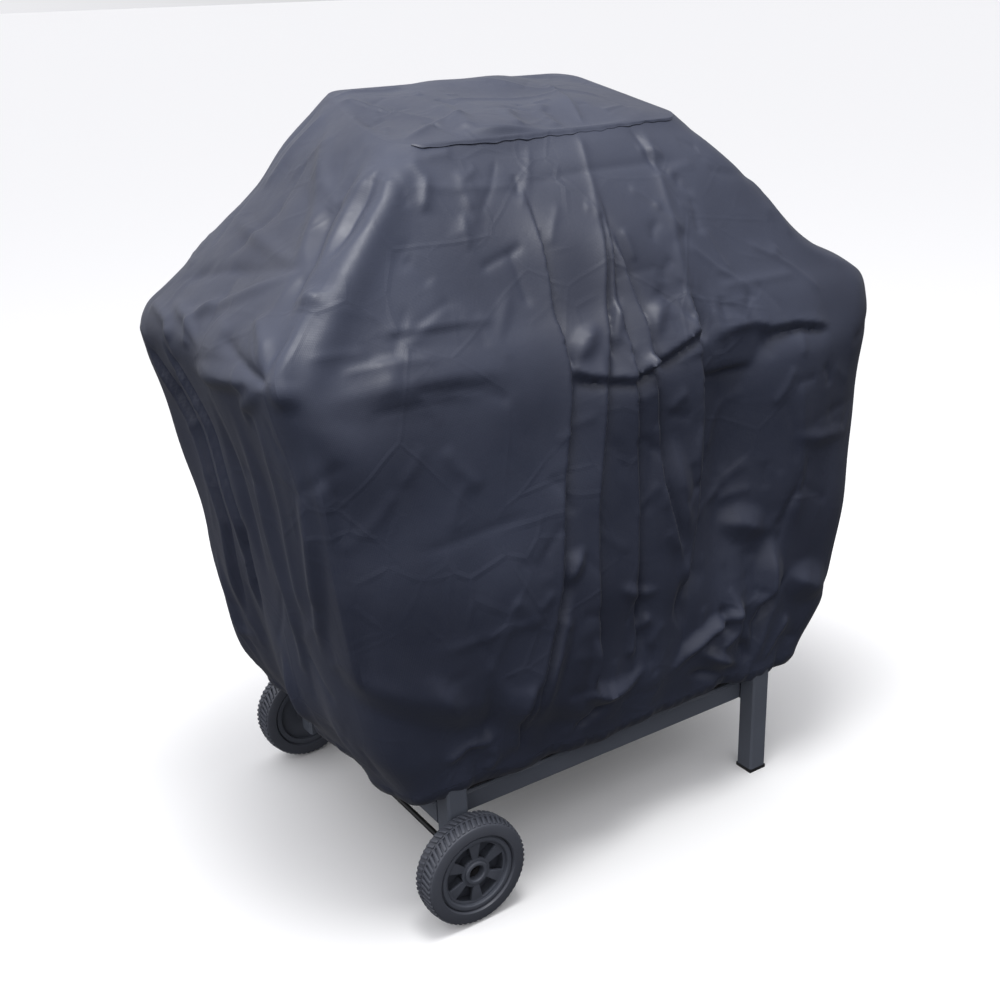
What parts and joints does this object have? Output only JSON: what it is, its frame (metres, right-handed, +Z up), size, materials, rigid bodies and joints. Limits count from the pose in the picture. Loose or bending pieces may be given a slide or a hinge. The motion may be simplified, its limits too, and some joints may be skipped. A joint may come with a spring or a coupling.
{
  "type": "grill cover",
  "caption": "Fitted fabric cover for a trolley grill, sloped from a flat top to wide shoulders and drawn in at the hem, over the wheeled grill that fills it.",
  "frame": {"origin": "on the floor at the middle of the object's box", "axes": "+X to the right with the wheels at the -X end, +Y to the back, +Z up"},
  "size_m": [0.98, 0.552, 1.0437],
  "materials": {
    "cover_cloth": "coated woven polyester, soft sheen",
    "tube_paint": "satin powder coat",
    "enamel": "semi-gloss enamel",
    "plated_steel": "zinc plated",
    "wheel_plastic": "moulded, satin",
    "tyre_plastic": "hard moulded tread",
    "foot_plastic": "moulded",
    "slat_wood": "oiled hardwood"
  },
  "bodies": {
    "grill": {"leg_front_left": "tube_paint", "leg_back_left": "tube_paint", "leg_front_right": "tube_paint", "leg_back_right": "tube_paint", "foot_cap_front": "foot_plastic", "foot_cap_back": "foot_plastic", "low_rail_left": "tube_paint", "low_rail_right": "tube_paint", "low_rail_front": "tube_paint", "low_rail_back": "tube_paint", "high_rail_left": "tube_paint", "high_rail_right": "tube_paint", "high_rail_front": "tube_paint", "high_rail_back": "tube_paint", "bottom_shelf": "enamel", "axle": "plated_steel", "washer_front": "plated_steel", "washer_back": "plated_steel", "push_nut_front": "plated_steel", "push_nut_back": "plated_steel", "firebox": "enamel", "box_hanger_left": "enamel", "box_hanger_right": "enamel", "vent_rivet_left": "plated_steel", "vent_rivet_right": "plated_steel", "coal_grate": "plated_steel", "cooking_grate": "plated_steel", "lid": "enamel", "lid_handle": "slat_wood", "handle_post_left": "plated_steel", "handle_post_right": "plated_steel", "thermometer": "plated_steel", "hinge_ear_box_left": "plated_steel", "hinge_ear_box_right": "plated_steel", "hinge_ear_lid_left": "plated_steel", "hinge_ear_lid_right": "plated_steel", "hinge_pin_left": "plated_steel", "hinge_pin_right": "plated_steel", "shelf_arm_left_front": "tube_paint", "shelf_arm_left_back": "tube_paint", "shelf_arm_right_front": "tube_paint", "shelf_arm_right_back": "tube_paint", "shelf_slat_left_1": "slat_wood", "shelf_slat_left_2": "slat_wood", "shelf_slat_right_1": "slat_wood", "shelf_slat_right_2": "slat_wood"},
    "cover": {"cover_top_panel": "cover_cloth", "cover_front_panel": "cover_cloth", "cover_back_panel": "cover_cloth", "cover_left_panel": "cover_cloth", "cover_right_panel": "cover_cloth", "cover_hem": "cover_cloth"},
    "wheel_front": {"wheel_rim_front": "wheel_plastic", "wheel_tyre_front": "tyre_plastic"},
    "wheel_back": {"wheel_rim_back": "wheel_plastic", "wheel_tyre_back": "tyre_plastic"},
    "vent_left": {"vent_disc_left": "plated_steel"},
    "vent_right": {"vent_disc_right": "plated_steel"}
  },
  "joints": [
    {"name": "cover_lift", "type": "slide", "parent": "grill", "child": "cover", "axis": [0, 0, 1], "range_m": [0, 0.92], "deforming": ["cover_left_panel", "cover_right_panel", "cover_hem"]},
    {"name": "wheel_front_spin", "type": "hinge", "parent": "grill", "child": "wheel_front", "pos_m": [-0.2765, -0.256, 0.078], "axis": [0, 1, 0], "continuous": true},
    {"name": "wheel_back_spin", "type": "hinge", "parent": "grill", "child": "wheel_back", "pos_m": [-0.2765, 0.256, 0.078], "axis": [0, 1, 0], "continuous": true},
    {"name": "vent_left_turn", "type": "hinge", "parent": "grill", "child": "vent_left", "pos_m": [-0.2465, 0.025, 0.655], "axis": [1, 0, 0], "range_deg": [0, 60]},
    {"name": "vent_right_turn", "type": "hinge", "parent": "grill", "child": "vent_right", "pos_m": [0.2465, 0.025, 0.655], "axis": [1, 0, 0], "range_deg": [0, 60]}
  ]
}
